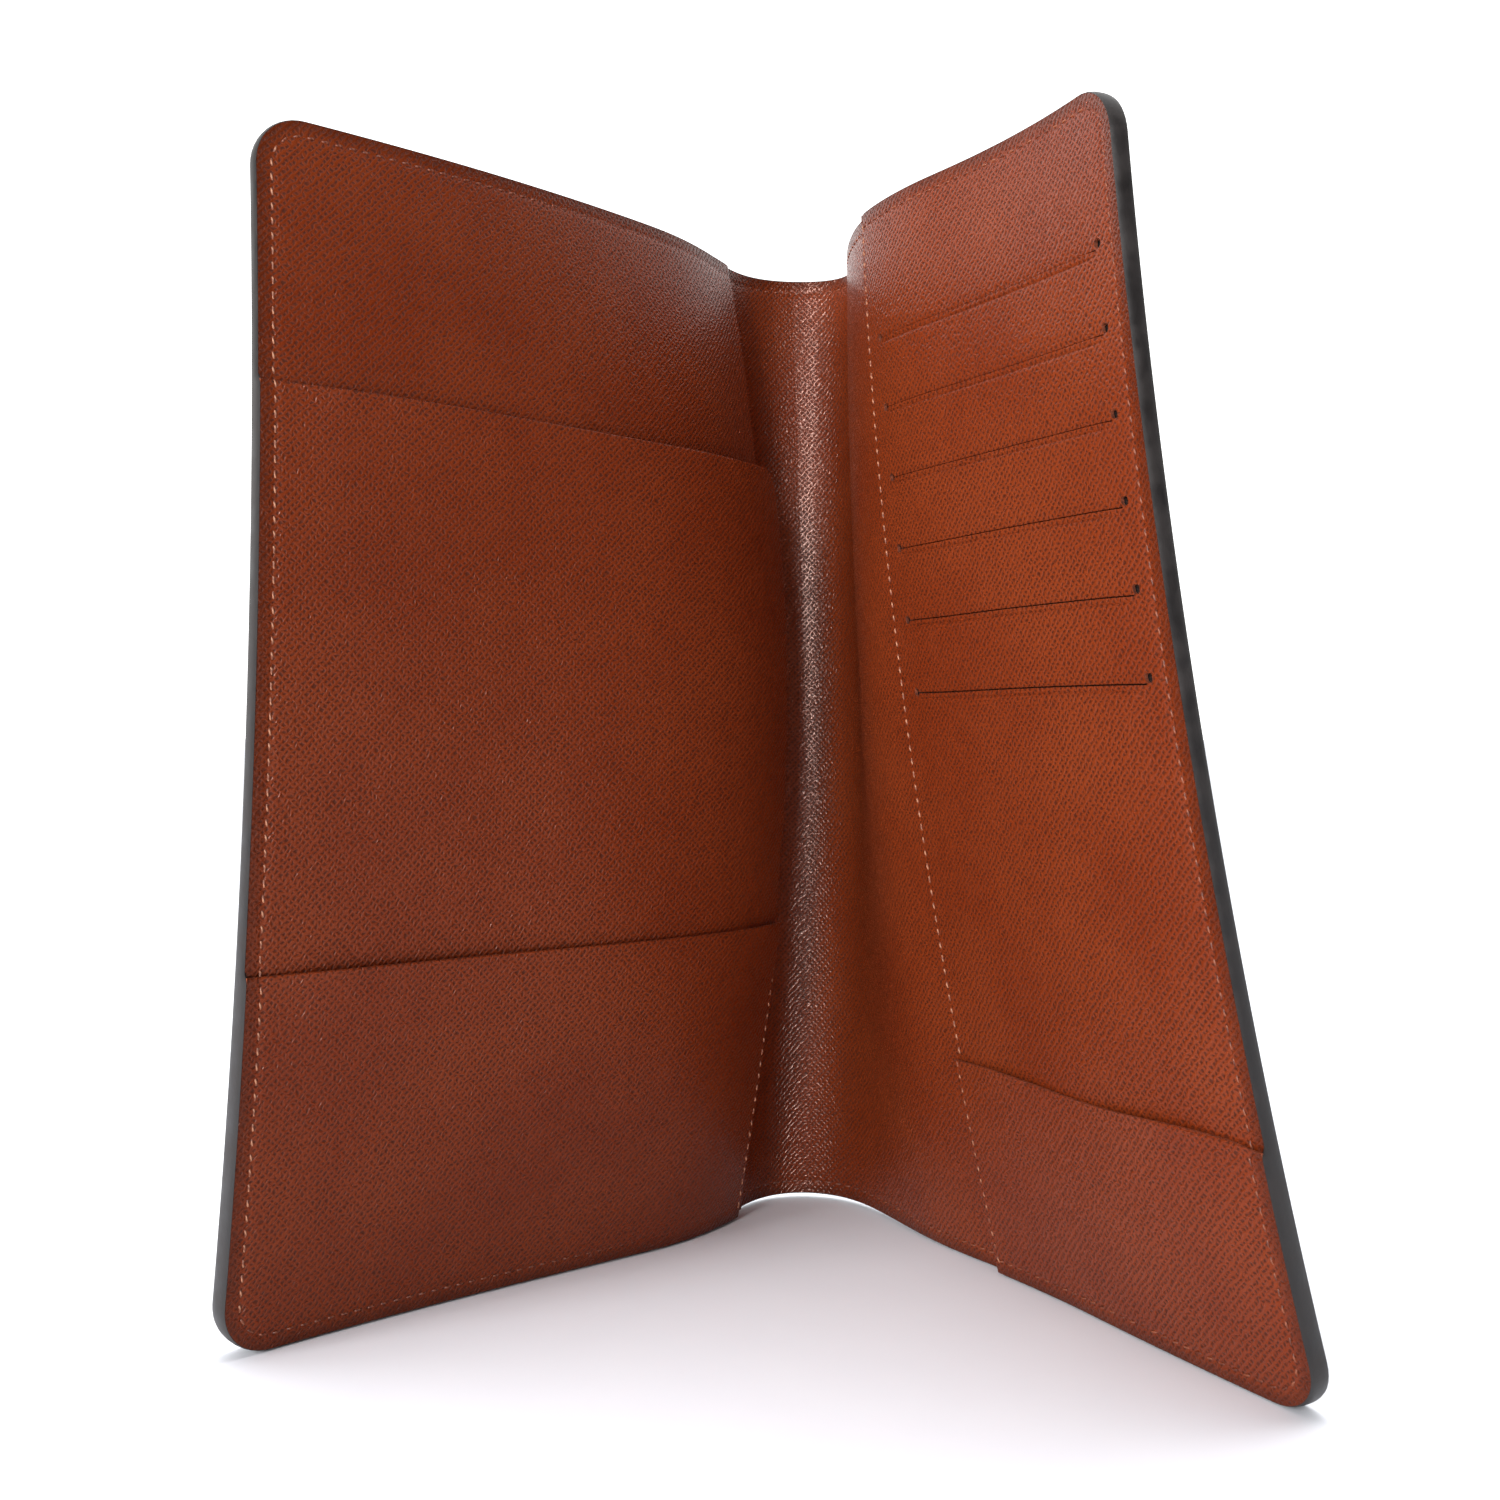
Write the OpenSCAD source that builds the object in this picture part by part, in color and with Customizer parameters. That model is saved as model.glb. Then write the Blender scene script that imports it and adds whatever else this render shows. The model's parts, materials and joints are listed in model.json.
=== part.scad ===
// Passport holder wallet: a long leather bifold that stands open on its lower edges.
// The spine is at the back (+Y), the two covers open towards -Y, the floor is z = 0.

/* [Covers] */
// Height of the covers
cover_h = 190; // [150:1:220]
// Width of the left cover, from its fold to its outer edge
left_w = 109; // [90:1:125]
// Radius of the outer corners
corner_r = 8; // [3:0.5:15]
// Thickness of the outer leather
outer_t = 0.8; // [0.6:0.1:1.2]
// Thickness of the stiffener board
board_t = 0.4; // [0.3:0.1:0.8]
// Thickness of the lining leather
lining_t = 0.5; // [0.4:0.1:0.8]
// Thickness of the painted edge
paint_t = 0.25; // [0.15:0.05:0.4]

/* [Spine] */
// Distance between the two folds of the spine
spine_chord = 24; // [18:1:34]
// How far the spine bulges behind its folds
spine_bulge = 7.6; // [5:0.2:9]
// Width of the plain leather between the spine and the card panel
strip_w = 36; // [30:1:44]

/* [Pose at rest] */
// Heading of the left cover, from straight ahead
left_heading = 36.7; // [20:0.1:60]
// Heading of the card cover, from straight ahead
right_heading = 37.4; // [20:0.1:60]
// Heading of the plain strip, from straight ahead
strip_heading = 24.2; // [10:0.1:60]
// Lean of the card cover, top inwards
right_lean = 8.8; // [2:0.1:12]

/* [Pockets] */
// Thickness of the pocket leather
pocket_t = 0.6; // [0.4:0.1:0.9]
// Space inside an empty pocket
pocket_gap = 0.3; // [0.1:0.1:0.4]
// Height of the passport pocket's top edge
passport_top = 150; // [120:1:170]
// Height of the left lower pocket's top edge
left_low_top = 58; // [40:1:90]
// Height of the right lower pocket's top edge
right_low_top = 38; // [25:1:50]
// Width of the seam that closes a pocket
seam_w = 3; // [2:0.5:4]

/* [Card panel] */
// Width of the card panel
card_w = 69.4; // [66:0.2:76]
// Number of card slots
slot_n = 6; // [2:1:6]
// Length of a card slot
slot_len = 57.5; // [56:0.5:60]
// Width of the cut
slot_cut = 0.6; // [0.4:0.1:0.8]
// Distance from one slot to the next
slot_pitch = 12.6; // [10:0.2:14]
// Height of the highest slot
slot_top = 165.5; // [150:0.5:172]
// Diameter of the punched hole at each end of a slot
hole_d = 1.4; // [1:0.1:2]
// Depth of a card pocket below its slot
card_depth = 72; // [60:1:80]
// Thickness of the pocket fabric behind the slots
fabric_t = 0.06; // [0.05:0.01:0.08]

/* [Stitching] */
// Distance from the edge to the stitching
stitch_in = 2.4; // [2:0.1:3.5]
// Distance from one stitch to the next
stitch_pitch = 2.4; // [2:0.1:4]
// Length of one stitch
stitch_len = 1.7; // [1:0.1:1.8]
// Thickness of the thread
thread_t = 0.35; // [0.25:0.05:0.5]

/* [Hidden] */
$fn = 96;

brown_out = "#5a3524";
brown_in = "#7a3b2b";
brown_low = "#7f4a3a";
paint_col = "#3a3430";
thread_col = "#b0705a";
board_col = "#b9a98c";
fabric_col = "#3b2a24";

// A cover is outer leather, board and lining, centred on its middle surface.
wall_t = outer_t + board_t + lining_t;
y_board = outer_t - wall_t / 2;
y_lining = y_board + board_t;
y_face = wall_t / 2;
layer_t = pocket_gap + pocket_t;
card_gap = 0.5;
hinge_gap = 1.1;
joint_gap = 0.4;
floor_z = paint_t;

// The spine is an arc of a circle through its two folds.
half_chord = spine_chord / 2;
spine_r = (half_chord * half_chord + spine_bulge * spine_bulge) / (2 * spine_bulge);
spine_half_turn = asin(half_chord / spine_r);
spine_gap_turn = hinge_gap / spine_r * 180 / PI;

// Outline of the whole wallet in plan, with the spine's back on y = 0.
fold_y = -spine_bulge;
strip_end = [half_chord + strip_w * sin(strip_heading), fold_y - strip_w * cos(strip_heading)];
mid_z = cover_h / 2;
in_y = y_face + card_gap + pocket_t + layer_t;
right_mid_z = mid_z * cos(right_lean) + in_y * sin(right_lean) + floor_z;
// The leaning card cover reaches furthest at its rounded outer corners.
lean_rise = sin(right_lean);
corner_z = mid_z - corner_r;
reach_x = [sin(right_heading), lean_rise * cos(right_heading)];
reach_y = [cos(right_heading), lean_rise * sin(right_heading)];
edge_r = corner_r + paint_t;
x_low = -half_chord - (left_w + paint_t) * sin(left_heading) - wall_t / 2 * cos(left_heading);
x_high = strip_end[0] + reach_x * [card_w - corner_r, corner_z] + edge_r * norm(reach_x)
    + wall_t / 2 * cos(right_lean) * cos(right_heading);
y_low = strip_end[1] - reach_y * [card_w - corner_r, corner_z] - edge_r * norm(reach_y)
    - (y_face + card_gap + pocket_t) * cos(right_lean) * sin(right_heading);
y_high = wall_t / 2;
centre = [(x_low + x_high) / 2, (y_low + y_high) / 2];

module to_centre() {
    translate([-centre[0], -centre[1], 0]) children();
}

// Cover frames: x runs from the fold to the outer edge, y points inwards, z is up.
module on_left() {
    to_centre() translate([-half_chord, fold_y, floor_z])
        rotate([0, 0, 270 - left_heading]) children();
}

module on_right() {
    to_centre() translate([strip_end[0], strip_end[1], right_mid_z])
        rotate([0, 0, right_heading - 90]) mirror([0, 1, 0])
        rotate([-right_lean, 0, 0]) translate([0, 0, -mid_z]) children();
}

module on_spine() {
    to_centre() translate([0, -spine_r, floor_z]) children();
}

// A flat outline with two rounded corners at its outer end.
module panel_2d(x0, x1, z0, z1, r) {
    translate([x0, z0]) square([x1 - x0 - r, z1 - z0]);
    translate([x0, z0 + r]) square([x1 - x0, z1 - z0 - 2 * r]);
    for (z = [z0 + r, z1 - r]) translate([x1 - r, z]) circle(r);
}

// A flat outline with rounded lower corner outside and rounded upper corner inside.
module pocket_2d(x0, x1, z1, r_in) {
    difference() {
        panel_2d(x0, x1, 0, cover_h, corner_r);
        translate([x0 - 1, z1]) square([x1 - x0 + 2, cover_h]);
        if (r_in > 0) difference() {
            translate([x0 - 1, z1 - r_in]) square([r_in + 1, r_in + 1]);
            translate([x0 + r_in, z1 - r_in]) circle(r_in);
        }
    }
}

// Lays a flat outline against the cover, from depth y0 inwards.
module lay(y0, t) {
    translate([0, y0 + t, 0]) rotate([90, 0, 0]) linear_extrude(t) children();
}

// The glued and stitched border that joins a pocket to the layer below it.
module seam_2d(x0, x1, z1, inner_side) {
    difference() {
        pocket_2d(x0, x1, z1, 0);
        translate([inner_side ? x0 + seam_w : x0 - 1, seam_w])
            square([x1 - seam_w - (inner_side ? x0 + seam_w : x0 - 1),
                z1 == cover_h ? cover_h - 2 * seam_w : cover_h]);
    }
}

module pocket(x0, x1, z1, y0, r_in, inner_side, gap = pocket_gap) {
    lay(y0 + gap, pocket_t) pocket_2d(x0, x1, z1, r_in);
    lay(y0, gap) seam_2d(x0, x1, z1, inner_side);
}

module cover_layer(x0, x1, y0, t) {
    lay(y0, t) panel_2d(x0, x1, 0, cover_h, corner_r);
}

// One layer of the spine, between two depths measured inwards from its middle surface.
module spine_layer(depth_out, t) {
    outer_r = spine_r - depth_out;
    on_spine() rotate([0, 0, 90 - spine_half_turn + spine_gap_turn])
        rotate_extrude(angle = 2 * (spine_half_turn - spine_gap_turn))
        translate([outer_r - t, 0]) square([t, cover_h]);
}

// One layer of the plain strip, twisted from the upright spine to the leaning card cover.
strip_steps = 12;

function strip_start() = [half_chord, fold_y];
function strip_foot(z) = strip_end + (z - mid_z) * sin(right_lean)
    * [-cos(right_heading), -sin(right_heading)];
function strip_dir(z) = (strip_foot(z) - strip_start()) / norm(strip_foot(z) - strip_start());
function strip_point(z, from_start, at_start, y) =
    let (d = strip_dir(z), n = [-abs(d[1]), -d[0]],
         base = at_start ? strip_start() + d * from_start : strip_foot(z) - d * from_start)
    [base[0] + n[0] * y - centre[0], base[1] + n[1] * y - centre[1], z + floor_z];

module strip_layer(y0, t) {
    rows = [for (i = [0 : strip_steps]) cover_h * i / strip_steps];
    corners = [for (z = rows) each [
        strip_point(z, hinge_gap, true, y0), strip_point(z, strip_margin, false, y0),
        strip_point(z, strip_margin, false, y0 + t), strip_point(z, hinge_gap, true, y0 + t)]];
    sides = [for (i = [0 : strip_steps - 1], k = [0 : 3])
        let (a = 4 * i + k, b = 4 * i + (k + 1) % 4)
        each (k < 2 ? [[a, a + 4, b + 4], [a, b + 4, b]] : [[a, a + 4, b], [b, a + 4, b + 4]])];
    n = 4 * strip_steps;
    ends = [[0, 1, 2], [0, 2, 3], [n + 2, n + 1, n], [n + 3, n + 2, n]];
    polyhedron(corners, concat(sides, ends));
}

strip_margin = joint_gap + wall_t;

// Depth of the topmost leather at a given height of each cover.
y_left_1 = y_face + layer_t;
y_left_2 = y_left_1 + layer_t;
y_left_3 = y_left_2 + layer_t;
y_right_1 = y_face + card_gap + pocket_t;
y_right_2 = y_right_1 + layer_t;

function left_level(z) = z < left_low_top ? y_left_3 : z < passport_top ? y_left_2 : y_left_1;
function right_level(z) = z < right_low_top ? y_right_2 : y_right_1;

module stitch(x, y, z, along_x) {
    size = along_x ? [stitch_len, thread_t / 2, thread_t] : [thread_t, thread_t / 2, stitch_len];
    translate([x - size[0] / 2, y, z - size[2] / 2]) cube(size);
}

// Rows of stitches along the bottom, the outer side and the top of a cover.
module perimeter_stitches(x0, x1, y_bottom, y_top) {
    across = floor((x1 - x0 - corner_r) / stitch_pitch);
    for (i = [0 : across]) {
        stitch(x0 + stitch_len + i * stitch_pitch, y_bottom, stitch_in, true);
        stitch(x0 + stitch_len + i * stitch_pitch, y_top, cover_h - stitch_in, true);
    }
}

module side_stitches(x, z0, z1, y) {
    count = floor((z1 - z0 - stitch_len) / stitch_pitch);
    for (i = [0 : count]) stitch(x, y, z0 + stitch_len + i * stitch_pitch, false);
}

module painted_edge(x0, x1, y1) {
    lay(-wall_t / 2, y1 + wall_t / 2) difference() {
        panel_2d(x0, x1 + paint_t, -paint_t, cover_h + paint_t, corner_r + paint_t);
        panel_2d(x0 - 1, x1, 0, cover_h, corner_r);
    }
}

left_x0 = hinge_gap;
slip_x0 = 3;
passport_x0 = 5;
left_low_x0 = 6;

module spine_cover() {
    color(brown_out) spine_layer(-wall_t / 2, outer_t);
}

module spine_reinforcement() {
    color(board_col) spine_layer(y_board, board_t);
}

module spine_lining() {
    color(brown_in) spine_layer(y_lining, lining_t);
}

module spine_stitching() {
    turn = stitch_pitch / spine_r * 180 / PI;
    side = floor(spine_half_turn / turn) - 1;
    color(thread_col) on_spine() for (i = [-side : side], z = [stitch_in, cover_h - stitch_in])
        rotate([0, 0, i * turn])
        translate([-stitch_len / 2, spine_r - y_face - thread_t, z - thread_t / 2])
        cube([stitch_len, thread_t / 2, thread_t]);
}

module left_outer_cover() {
    color(brown_out) on_left() cover_layer(left_x0, left_w, -wall_t / 2, outer_t);
}

module left_stiffener_board() {
    color(board_col) on_left() cover_layer(left_x0, left_w, y_board, board_t);
}

module left_lining() {
    color(brown_in) on_left() cover_layer(left_x0, left_w, y_lining, lining_t);
}

module left_slip_pocket() {
    color(brown_in) on_left() pocket(slip_x0, left_w, cover_h, y_face, 0, false);
}

module passport_pocket() {
    color(brown_in) on_left()
        pocket(passport_x0, left_w, passport_top, y_left_1, corner_r / 2, false);
}

module left_lower_pocket() {
    color(brown_low) on_left() pocket(left_low_x0, left_w, left_low_top, y_left_2, 0, true);
}

module left_perimeter_stitching() {
    x = left_w - stitch_in;
    color(thread_col) on_left() {
        perimeter_stitches(left_low_x0, left_w, y_left_3, y_left_1);
        side_stitches(x, corner_r, left_low_top, y_left_3);
        side_stitches(x, left_low_top, passport_top, y_left_2);
        side_stitches(x, passport_top, cover_h - corner_r, y_left_1);
    }
}

module left_pocket_side_stitching() {
    color(thread_col) on_left()
        side_stitches(left_low_x0 + stitch_in, 2 * stitch_in, left_low_top, y_left_3);
}

module left_edge_paint() {
    color(paint_col) on_left() painted_edge(slip_x0, left_w, y_left_1);
}

module fold_strip_cover() {
    color(brown_out) strip_layer(-wall_t / 2, outer_t + board_t);
}

module fold_strip_lining() {
    color(brown_in) strip_layer(y_lining, lining_t);
}

module right_outer_cover() {
    color(brown_out) on_right() cover_layer(joint_gap, card_w, -wall_t / 2, outer_t);
}

module right_stiffener_board() {
    color(board_col) on_right() cover_layer(joint_gap, card_w, y_board, board_t);
}

module right_lining() {
    color(brown_in) on_right() cover_layer(joint_gap, card_w, y_lining, lining_t);
}

// The slots start a little nearer the inner edge than the outer one.
slot_x0 = 5.4;

module card_pocket(i) {
    z = slot_top - i * slot_pitch;
    level = y_face + (card_gap - fabric_t) * (i + 1) / (slot_n + 1);
    color(fabric_col) on_right() lay(level, fabric_t) difference() {
        translate([seam_w + 1, z - card_depth]) square([card_w - 2 * seam_w - 2, card_depth]);
        translate([slot_x0 + slot_len, z]) circle(d = hole_d);
        translate([slot_x0, z]) circle(d = hole_d);
    }
}

module card_panel() {
    color(brown_in) on_right() {
        lay(y_face + card_gap, pocket_t) difference() {
            panel_2d(joint_gap, card_w, 0, cover_h, corner_r);
            for (i = [0 : slot_n - 1]) {
                z = slot_top - i * slot_pitch;
                translate([slot_x0, z - slot_cut / 2]) square([slot_len, slot_cut]);
                for (x = [slot_x0, slot_x0 + slot_len]) translate([x, z]) circle(d = hole_d);
            }
        }
        lay(y_face, card_gap) difference() {
            panel_2d(joint_gap, card_w, 0, cover_h, corner_r);
            translate([joint_gap + seam_w, seam_w])
                square([card_w - 2 * seam_w - joint_gap, cover_h - 2 * seam_w]);
        }
    }
}

module right_lower_pocket() {
    color(brown_low) on_right() pocket(joint_gap, card_w, right_low_top, y_right_1, 0, true);
}

module right_perimeter_stitching() {
    x = card_w - stitch_in;
    color(thread_col) on_right() {
        perimeter_stitches(joint_gap, card_w, y_right_2, y_right_1);
        side_stitches(x, corner_r, right_low_top, y_right_2);
        side_stitches(x, right_low_top, cover_h - corner_r, y_right_1);
    }
}

module card_panel_side_stitching() {
    x = joint_gap + stitch_in / 2;
    color(thread_col) on_right() {
        side_stitches(x, 2 * stitch_in, right_low_top, y_right_2);
        side_stitches(x, right_low_top, cover_h - 2 * stitch_in, y_right_1);
    }
}

module right_edge_paint() {
    color(paint_col) on_right() painted_edge(joint_gap, card_w, y_right_1);
}

spine_cover();
spine_reinforcement();
spine_lining();
spine_stitching();
left_outer_cover();
left_stiffener_board();
left_lining();
left_slip_pocket();
passport_pocket();
left_lower_pocket();
left_perimeter_stitching();
left_pocket_side_stitching();
left_edge_paint();
fold_strip_cover();
fold_strip_lining();
right_outer_cover();
right_stiffener_board();
right_lining();
card_pocket(0);  // card_pocket_1
card_pocket(1);  // card_pocket_2
card_pocket(2);  // card_pocket_3
card_pocket(3);  // card_pocket_4
card_pocket(4);  // card_pocket_5
card_pocket(5);  // card_pocket_6
card_panel();
right_lower_pocket();
right_perimeter_stitching();
card_panel_side_stitching();
right_edge_paint();
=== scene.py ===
"""Passport holder wallet: a long leather bifold that stands open on its lower edges.

The whole wallet is one curved sheet. A point of it is given by how far it lies along the sheet's
width (0 in the middle of the spine, negative to the left), how high it is up the sheet, and how far
off the sheet's middle surface it is, towards the inside. All three are in millimetres.
"""
import json
import math

import bmesh
import bpy
import numpy as np
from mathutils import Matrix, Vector


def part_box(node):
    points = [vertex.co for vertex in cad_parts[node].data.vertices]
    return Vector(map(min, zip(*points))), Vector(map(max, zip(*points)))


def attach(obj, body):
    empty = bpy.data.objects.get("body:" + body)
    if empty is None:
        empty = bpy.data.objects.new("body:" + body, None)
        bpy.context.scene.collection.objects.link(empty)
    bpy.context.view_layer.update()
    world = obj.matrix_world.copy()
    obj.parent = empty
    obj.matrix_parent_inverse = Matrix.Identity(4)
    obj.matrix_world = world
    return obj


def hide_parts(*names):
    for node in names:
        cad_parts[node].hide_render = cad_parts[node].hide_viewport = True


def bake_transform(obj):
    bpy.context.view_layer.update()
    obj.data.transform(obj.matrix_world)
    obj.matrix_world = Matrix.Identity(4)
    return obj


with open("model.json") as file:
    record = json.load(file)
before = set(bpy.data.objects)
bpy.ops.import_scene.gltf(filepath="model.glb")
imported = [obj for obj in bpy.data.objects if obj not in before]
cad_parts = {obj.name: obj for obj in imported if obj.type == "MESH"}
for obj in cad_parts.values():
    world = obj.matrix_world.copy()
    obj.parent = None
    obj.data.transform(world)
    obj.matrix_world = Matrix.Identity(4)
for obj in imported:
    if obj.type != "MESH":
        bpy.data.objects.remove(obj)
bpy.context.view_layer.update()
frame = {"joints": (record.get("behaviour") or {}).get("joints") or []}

MM = 0.001

# Sizes of the sheet, in millimetres.
HEIGHT = 190.0
LEFT_EDGE = -127.3
RIGHT_EDGE = 125.1
CORNER = 8.0
FLOOR_GAP = 0.3
# Pieces sewn onto the wall start this far inside its outline.
TUCK = 0.05

# Layers: offsets of the faces from the sheet's middle surface.
BACK_FACE = -0.85
BOARD_BACK = -0.2
BOARD_FRONT = 0.2
LINING_FACE = 0.85
# Thickness of the pockets' leather, and the rise where one more layer lies under a face.
LEATHER = 0.6
LAYER_RISE = 0.9
SLIP_FACE = 1.75
PASSPORT_FACE = 2.65
LEFT_LOW_FACE = 3.55
PANEL_FACE = 1.95
RIGHT_LOW_FACE = 2.85

# Pocket outlines.
SLIP_INNER = -20.0
FLAP_INNER = -24.0
PANEL_INNER = 56.0
PASSPORT_TOP = 148.5
LEFT_LOW_TOP = 58.0
RIGHT_LOW_TOP = 38.0
# The right low pocket reaches this far past the card panel's inner edge.
OVERHANG = 0.15
FLAP_CORNER = 5.0
# The passport pocket's inner top corner sags, and the free edges stand off the lining by this much.
FLAP_DROP = 2.2
SLIP_GAPE = 6.0
FLAP_GAPE = 11.0

# Card slots.
SLOTS = 6
SLOT_TOP = 165.5
SLOT_PITCH = 12.6
SLOT_START = 62.0
SLOT_END = 119.0
SLOT_CUT = 0.24
# Punched holes at the ends of the cuts: their radius and how they sit by the cut.
HOLE = 0.72
HOLE_RISE = 0.9
START_HOLE_RISE = 0.1
END_HOLE_SHIFT = 0.5
# Cloth pockets: offset of the lowest, step to the next, thickness and depth.
CLOTH_OFF = 0.98
CLOTH_STEP = 0.035
CLOTH = 0.03
CLOTH_DROP = 60.0

# Stitching.
# How far in from the edge the rows lie, at the wallet's outline and at a pocket's side.
STITCH_IN = 2.4
SIDE_STITCH_IN = 0.8
STITCH_PITCH = 2.3
# Half a stitch's length, its slant across the row, the thread's half thickness, and how far it
# pulls the leather in.
STITCH_HALF = 0.66
STITCH_SLANT = math.radians(7)
THREAD = 0.18
SEAM_PULL = 0.12

# Spacing of the meshes along the sheet and up it.
ALONG_SPACING = 1.9
UP_SPACING = 2.4

# Where the sheet is cut into its three pieces: the spine's middle and the end of the strip.
SPINE_CUT = 0.0
STRIP_CUT = 24.0


# ---------------------------------------------------------------------------------------------
# The curved sheet
# ---------------------------------------------------------------------------------------------

# Headings of the sheet in plan, in degrees from straight ahead, at these distances from the spine's
# middle, for its lower edge, its middle height and its upper edge.
ALONG = (0, 6, 12, 18, 30, 48, 80, 125)
RIGHT_HEADINGS = (
    (88, 65, 46, 37, 35, 45, 36, 40),
    (94, 69, 36, 7, 5, 32, 36, 37),
    (103, 89, 49, -3, 5, 14, 46, 23),
)
LEFT_HEADINGS = (
    (92, 66, 38, 22, 26, 45, 44, 39),
    (86, 61, 34, 18, 13, 26, 48, 43),
    (77, 58, 33, 18, 17, 31, 36, 45),
)
# Where the spine's middle is at the three heights, from the point behind the two folds.
SPINE_MIDDLE = ((0.9, 1.9), (0.0, 0.0), (-2.9, 0.3))
# Spacing of the curves' places, and the distance over which a change of heading is softened.
STEP = 0.5
SOFTEN = 5.0


def fold_point(name):
    """Where a fold's joint stands in plan, in millimetres."""
    joint = [j for j in frame["joints"] if j["name"] == name][0]
    return np.array(joint["pos_m"][:2]) / MM


def spine_back():
    """The point in plan that the sheet's headings start from, behind the two folds."""
    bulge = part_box("spine_cover")[1][1] / MM + BACK_FACE
    middle = (fold_point("left_fold") + fold_point("right_fold")) / 2
    return np.array([middle[0], bulge])


def side_curve(headings, way):
    """One side of the sheet at one height: x, y and the direction of growing distance."""
    run = np.arange(0, 140 + STEP / 2, STEP)
    reach = int(SOFTEN / STEP)
    weights = np.hanning(2 * reach + 3)[1:-1]
    weights /= weights.sum()
    wide = np.arange(-reach, len(run) + reach) * STEP
    turn = np.interp(np.abs(wide), ALONG, headings)
    turn[:reach] = 2 * headings[0] - turn[:reach]
    turn = np.radians(np.convolve(turn, weights, "valid"))
    dx, dy = way * np.sin(turn), -np.cos(turn)
    x = np.concatenate([[0], np.cumsum((dx[1:] + dx[:-1]) / 2 * STEP)])
    y = np.concatenate([[0], np.cumsum((dy[1:] + dy[:-1]) / 2 * STEP)])
    return run, x, y, dx, dy


def level_curve(level):
    """The sheet's plan at one of the three heights, from its left to its right."""
    run, rx, ry, rdx, rdy = side_curve(RIGHT_HEADINGS[level], 1)
    _, lx, ly, ldx, ldy = side_curve(LEFT_HEADINGS[level], -1)
    start = spine_back() + np.array(SPINE_MIDDLE[level])
    return (
        np.concatenate([-run[:0:-1], run]),
        np.concatenate([lx[:0:-1], rx]) + start[0],
        np.concatenate([ly[:0:-1], ry]) + start[1],
        np.concatenate([-ldx[:0:-1], rdx]),
        np.concatenate([-ldy[:0:-1], rdy]),
    )


LEVELS = [level_curve(k) for k in range(3)]


def sheet_points(along, up, off):
    """Points of the sheet in metres, for arrays of along, up and off in millimetres."""
    along, up, off = np.broadcast_arrays(
        np.asarray(along, float), np.asarray(up, float), np.asarray(off, float)
    )
    w = up / HEIGHT
    shares = (2 * (w - 0.5) * (w - 1), -4 * w * (w - 1), 2 * w * (w - 0.5))
    plan = np.zeros(along.shape + (4,))
    ends = []
    for share, curve in zip(shares, LEVELS):
        here = np.stack([np.interp(along, curve[0], curve[k]) for k in (1, 2, 3, 4)], -1)
        plan += share[..., None] * here
        ends.append(here)
    lean = np.hypot(ends[2][..., 0] - ends[0][..., 0], ends[2][..., 1] - ends[0][..., 1])
    length = np.hypot(plan[..., 2], plan[..., 3])
    inside_x, inside_y = plan[..., 3] / length, -plan[..., 2] / length
    x = plan[..., 0] + inside_x * off
    y = plan[..., 1] + inside_y * off
    z = w * np.sqrt(HEIGHT**2 - lean**2) + FLOOR_GAP + spine_lift(along, up)
    return np.stack([x, y, z], -1) * MM


def point(along, up=HEIGHT / 2, off=0.0):
    """One point of the sheet."""
    return Vector(sheet_points([along], [up], [off])[0])


def smooth(t):
    """From 0 to 1, with a soft start and end."""
    t = np.clip(t, 0, 1)
    return t * t * (3 - 2 * t)


def edge_distance(along, up):
    """How far a point is from the wallet's outer outline, round its corners."""
    side = np.minimum(along - LEFT_EDGE, RIGHT_EDGE - along)
    end = np.minimum(up, HEIGHT - up)
    cx, cy = np.maximum(CORNER - side, 0), np.maximum(CORNER - end, 0)
    return np.where((cx > 0) & (cy > 0), CORNER - np.hypot(cx, cy), np.minimum(side, end))


def corner_inset(up):
    """How far the rounded corner takes the outline in, at a height."""
    end = np.clip(np.minimum(up, HEIGHT - up), 0, CORNER)
    return CORNER - np.sqrt(np.maximum(CORNER**2 - (CORNER - end) ** 2, 0))


def flap_gape(along, up, most=FLAP_GAPE):
    """How far a left pocket's free edge stands away from the lining."""
    w = up / HEIGHT
    return most * 4 * w * (1 - w) * (0.7 + 0.6 * w) * smooth((along + 84) / 62) ** 1.2


def spine_lift(along, up):
    """The spine's lower edge is drawn up a little, and doesn't touch the ground."""
    return 0.9 * np.exp(-((along / 26) ** 2)) * np.clip(1 - up / 60, 0, 1) ** 2


def seam_dip(along, up):
    """The stitching pulls the leather in along its line."""
    return SEAM_PULL * np.exp(-(((edge_distance(along, up) - STITCH_IN) / 0.55) ** 2))


def soft_rim(distance, size=0.3, depth=0.2):
    """A cut edge is rounded over: how far the face falls, at a distance from the edge."""
    t = np.clip(1 - distance / size, 0, 1)
    return depth * (1 - np.sqrt(np.maximum(1 - t * t, 0)))


def stack_face(along, up):
    """Offset of the uppermost face at the sewn edges."""
    slip = LINING_FACE + (SLIP_FACE - LINING_FACE) * smooth((SLIP_INNER - along) / 0.8 + 0.5)
    full = np.where(along < FLAP_INNER, 1.0, 0.0)
    over = smooth((PASSPORT_TOP - up) / 1.6 + 0.5) + smooth((LEFT_LOW_TOP - up) / 1.6 + 0.5)
    left = slip + LAYER_RISE * over * full
    panel = (PANEL_FACE - LINING_FACE) * smooth((along - PANEL_INNER) / 0.8 + 0.5)
    low = LAYER_RISE * smooth((RIGHT_LOW_TOP - up) / 1.6 + 0.5)
    low = low * np.where(along > PANEL_INNER, 1, 0)
    return np.where(along < 0, left, LINING_FACE + panel + low)


# ---------------------------------------------------------------------------------------------
# Meshes
# ---------------------------------------------------------------------------------------------

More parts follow.
